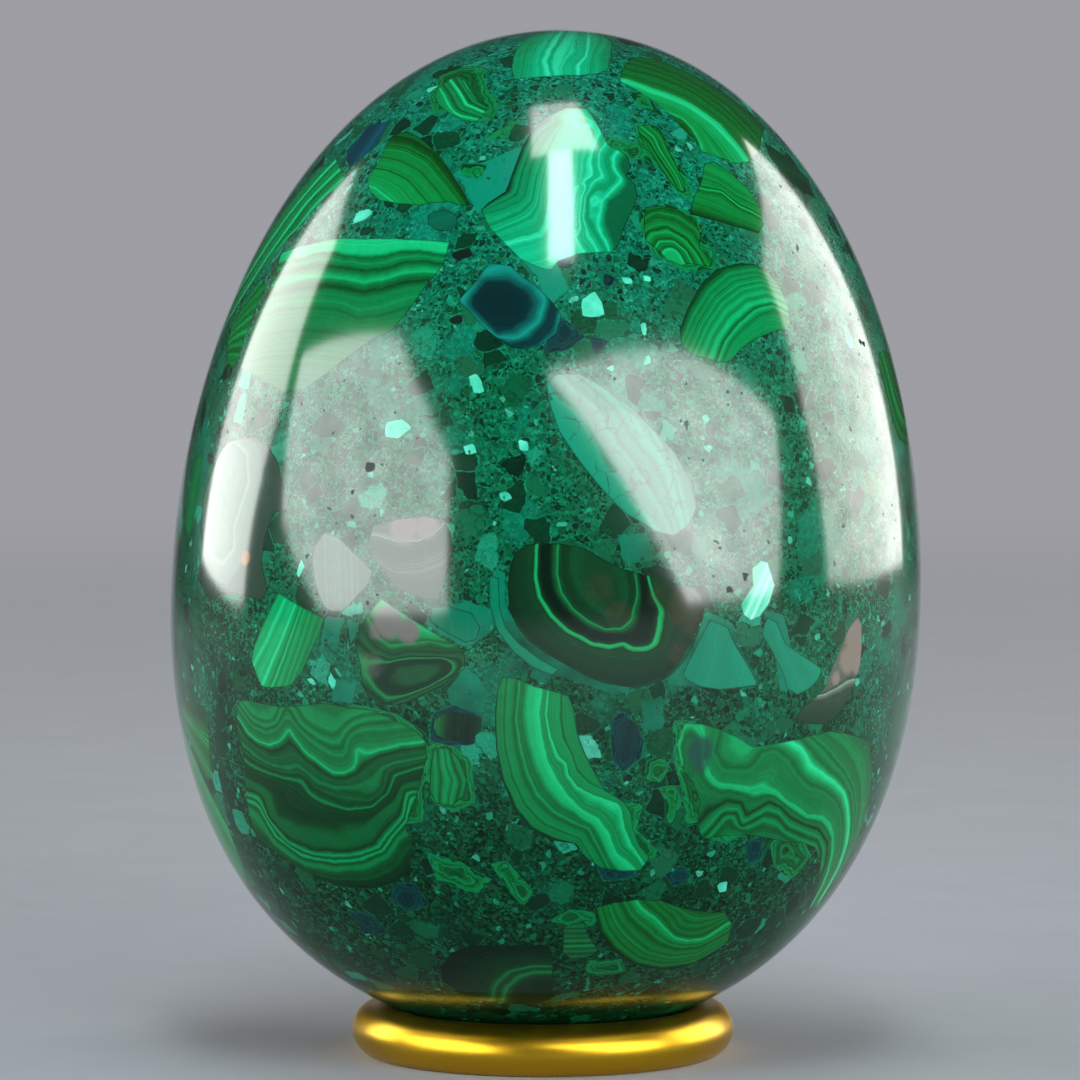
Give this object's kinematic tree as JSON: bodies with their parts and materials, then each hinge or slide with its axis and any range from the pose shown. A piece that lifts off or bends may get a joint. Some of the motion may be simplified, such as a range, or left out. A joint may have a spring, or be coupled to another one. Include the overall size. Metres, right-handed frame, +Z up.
{
  "type": "decorative egg on stand",
  "caption": "Polished stone egg of banded green fragments set in fine grit, standing on a plain round brass ring that it lifts off.",
  "frame": {"origin": "centre of the ring's flat underside, which rests on the table", "axes": "+Z up, along the ring's axis; the side seen in the picture faces -Y, with +X to its right"},
  "size_m": [0.0804, 0.0802, 0.1095],
  "materials": {
    "ring_brass": "polished",
    "egg_grit": "polished",
    "banded_green": "polished",
    "bright_green": "polished",
    "dark_green": "polished",
    "teal": "polished",
    "pale_green": "polished",
    "navy_blue": "polished",
    "grey_olive": "polished"
  },
  "bodies": {
    "ring": {"ring_stand": "ring_brass"},
    "egg": {"egg_matrix": "egg_grit", "crest_slab_stone": "bright_green", "crown_stone": "bright_green", "left_fan_stone": "banded_green", "navy_stone": "navy_blue", "left_slab_stone": "bright_green", "left_rim_stone": "banded_green", "teal_nodule_stone": "teal", "right_crest_stone": "banded_green", "right_shoulder_stone": "banded_green", "arch_stone": "banded_green", "wavy_wedge_stone": "banded_green", "right_fan_stone": "banded_green", "cracked_panel_stone": "banded_green", "dark_nodule_stone": "dark_green", "pale_nodule_stone": "pale_green", "red_grey_nodule_stone": "grey_olive", "pale_shard_stone": "pale_green", "striped_stone": "banded_green", "kidney_stone": "banded_green", "left_scallop_stone": "bright_green", "small_dark_stone": "dark_green", "small_wavy_stone": "banded_green", "centre_arc_stone": "banded_green", "right_scallop_stone": "bright_green", "left_teal_stone": "teal", "right_teal_stone": "teal", "leaf_shard_stone": "grey_olive", "bottom_fan_stone": "banded_green", "bottom_arc_stone": "dark_green", "small_striped_stone": "banded_green", "left_low_stone": "banded_green", "left_waist_stone": "banded_green", "right_rim_stone": "banded_green", "dark_rim_stone": "dark_green", "black_pebble_stone": "dark_green", "teal_triangle_stone": "teal", "teal_strip_stone": "teal", "mint_block_stone": "pale_green", "left_edge_stone": "banded_green", "left_shoulder_stone": "banded_green", "left_crest_stone": "banded_green", "round_dark_stone": "dark_green", "rear_scallop_stone": "banded_green", "rear_nodule_stone": "dark_green", "rear_slab_stone": "banded_green", "rear_shard_stone": "pale_green", "rear_crown_stone": "banded_green", "rear_fan_stone": "banded_green", "rear_crest_stone": "banded_green", "rear_low_stone": "banded_green", "rear_teal_stone": "teal", "right_flank_stone": "banded_green", "right_haunch_stone": "banded_green", "left_flank_stone": "banded_green", "left_haunch_stone": "banded_green", "right_under_stone": "banded_green", "right_upper_stone": "banded_green", "left_upper_stone": "banded_green"}
  },
  "joints": [
    {"name": "egg_lift", "type": "slide", "parent": "ring", "child": "egg", "axis": [0, 0, 1], "range_m": [0, 0.06]}
  ]
}
